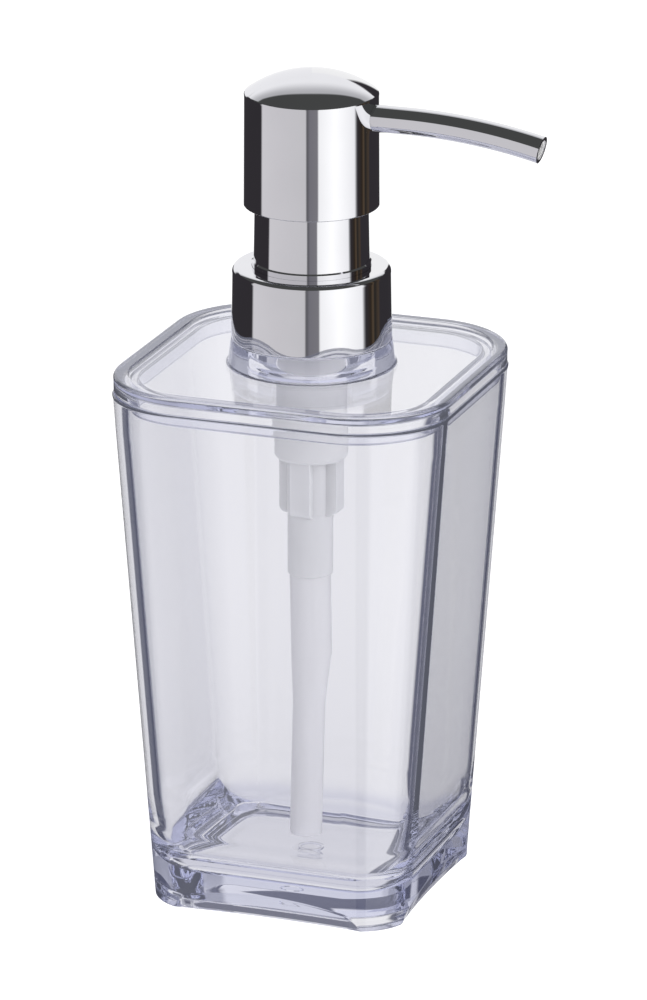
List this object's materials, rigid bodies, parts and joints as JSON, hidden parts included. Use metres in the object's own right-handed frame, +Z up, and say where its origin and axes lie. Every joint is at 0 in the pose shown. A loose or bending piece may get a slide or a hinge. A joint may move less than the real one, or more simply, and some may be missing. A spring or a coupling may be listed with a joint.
{
  "type": "soap pump dispenser",
  "caption": "Clear tapered square soap bottle with a lid, a screw-on chrome lotion pump, a press-down swivelling head with a curved spout, and an inner dip tube.",
  "frame": {"origin": "centre of the bottle foot in the plane it stands on, on the pump axis", "axes": "+Z up along the pump axis, +X the way the spout points at rest, the bottle sides face -Y, +X, +Y and -X"},
  "size_m": [0.0834, 0.07, 0.1699],
  "materials": {
    "clear_polystyrene": "polished clear styrene plastic",
    "clear_polystyrene_lid": "polished clear styrene plastic",
    "chrome": "mirror chrome plating",
    "white_pp": "natural white polypropylene",
    "white_pe": "soft white polyethylene",
    "milky_pe": "milky translucent polyethylene",
    "spring_steel": "drawn stainless wire",
    "ball_steel": "polished stainless ball"
  },
  "bodies": {
    "bottle": {"bottle_shell": "clear_polystyrene", "lid_cover": "clear_polystyrene_lid"},
    "pump_body": {"pump_housing": "white_pp", "neck_gasket": "white_pe", "guide_bush": "white_pp", "ball_cage": "white_pp", "dip_tube": "milky_pe", "return_spring": "spring_steel"},
    "closure": {"collar_shell": "chrome", "collar_insert": "white_pp", "guide_sleeve": "chrome"},
    "plunger": {"piston_seal": "white_pe"},
    "head": {"upper_stem": "white_pp", "lower_stem": "white_pp", "head_core": "white_pp", "head_shell": "chrome", "spout_tube": "chrome", "spout_liner": "milky_pe"},
    "inlet_valve": {"inlet_ball": "ball_steel"},
    "outlet_valve": {"outlet_ball": "ball_steel"}
  },
  "joints": [
    {"name": "pump_rise", "type": "slide", "parent": "bottle", "child": "pump_body", "axis": [0, 0, 1], "range_m": [0, 0.00847]},
    {"name": "closure_unscrew", "type": "hinge", "parent": "pump_body", "child": "closure", "pos_m": [0, 0, 0.122], "axis": [0, 0, 1], "range_deg": [0, 720]},
    {"name": "pump_stroke", "type": "slide", "parent": "pump_body", "child": "plunger", "axis": [0, 0, -1], "range_m": [0, 0.012], "stiffness_N_per_m": 450, "springref_m": -0.008, "deforming": ["return_spring"]},
    {"name": "head_swivel", "type": "hinge", "parent": "plunger", "child": "head", "pos_m": [0, 0, 0.15], "axis": [0, 0, 1], "continuous": true},
    {"name": "inlet_lift", "type": "slide", "parent": "pump_body", "child": "inlet_valve", "axis": [0, 0, 1], "range_m": [0, 0.0015]},
    {"name": "outlet_lift", "type": "slide", "parent": "head", "child": "outlet_valve", "axis": [0, 0, 1], "range_m": [0, 0.0015]}
  ],
  "couplings": [
    {"joint": "pump_rise", "follows": "closure_unscrew", "m_per_rad": 0.00067323}
  ]
}
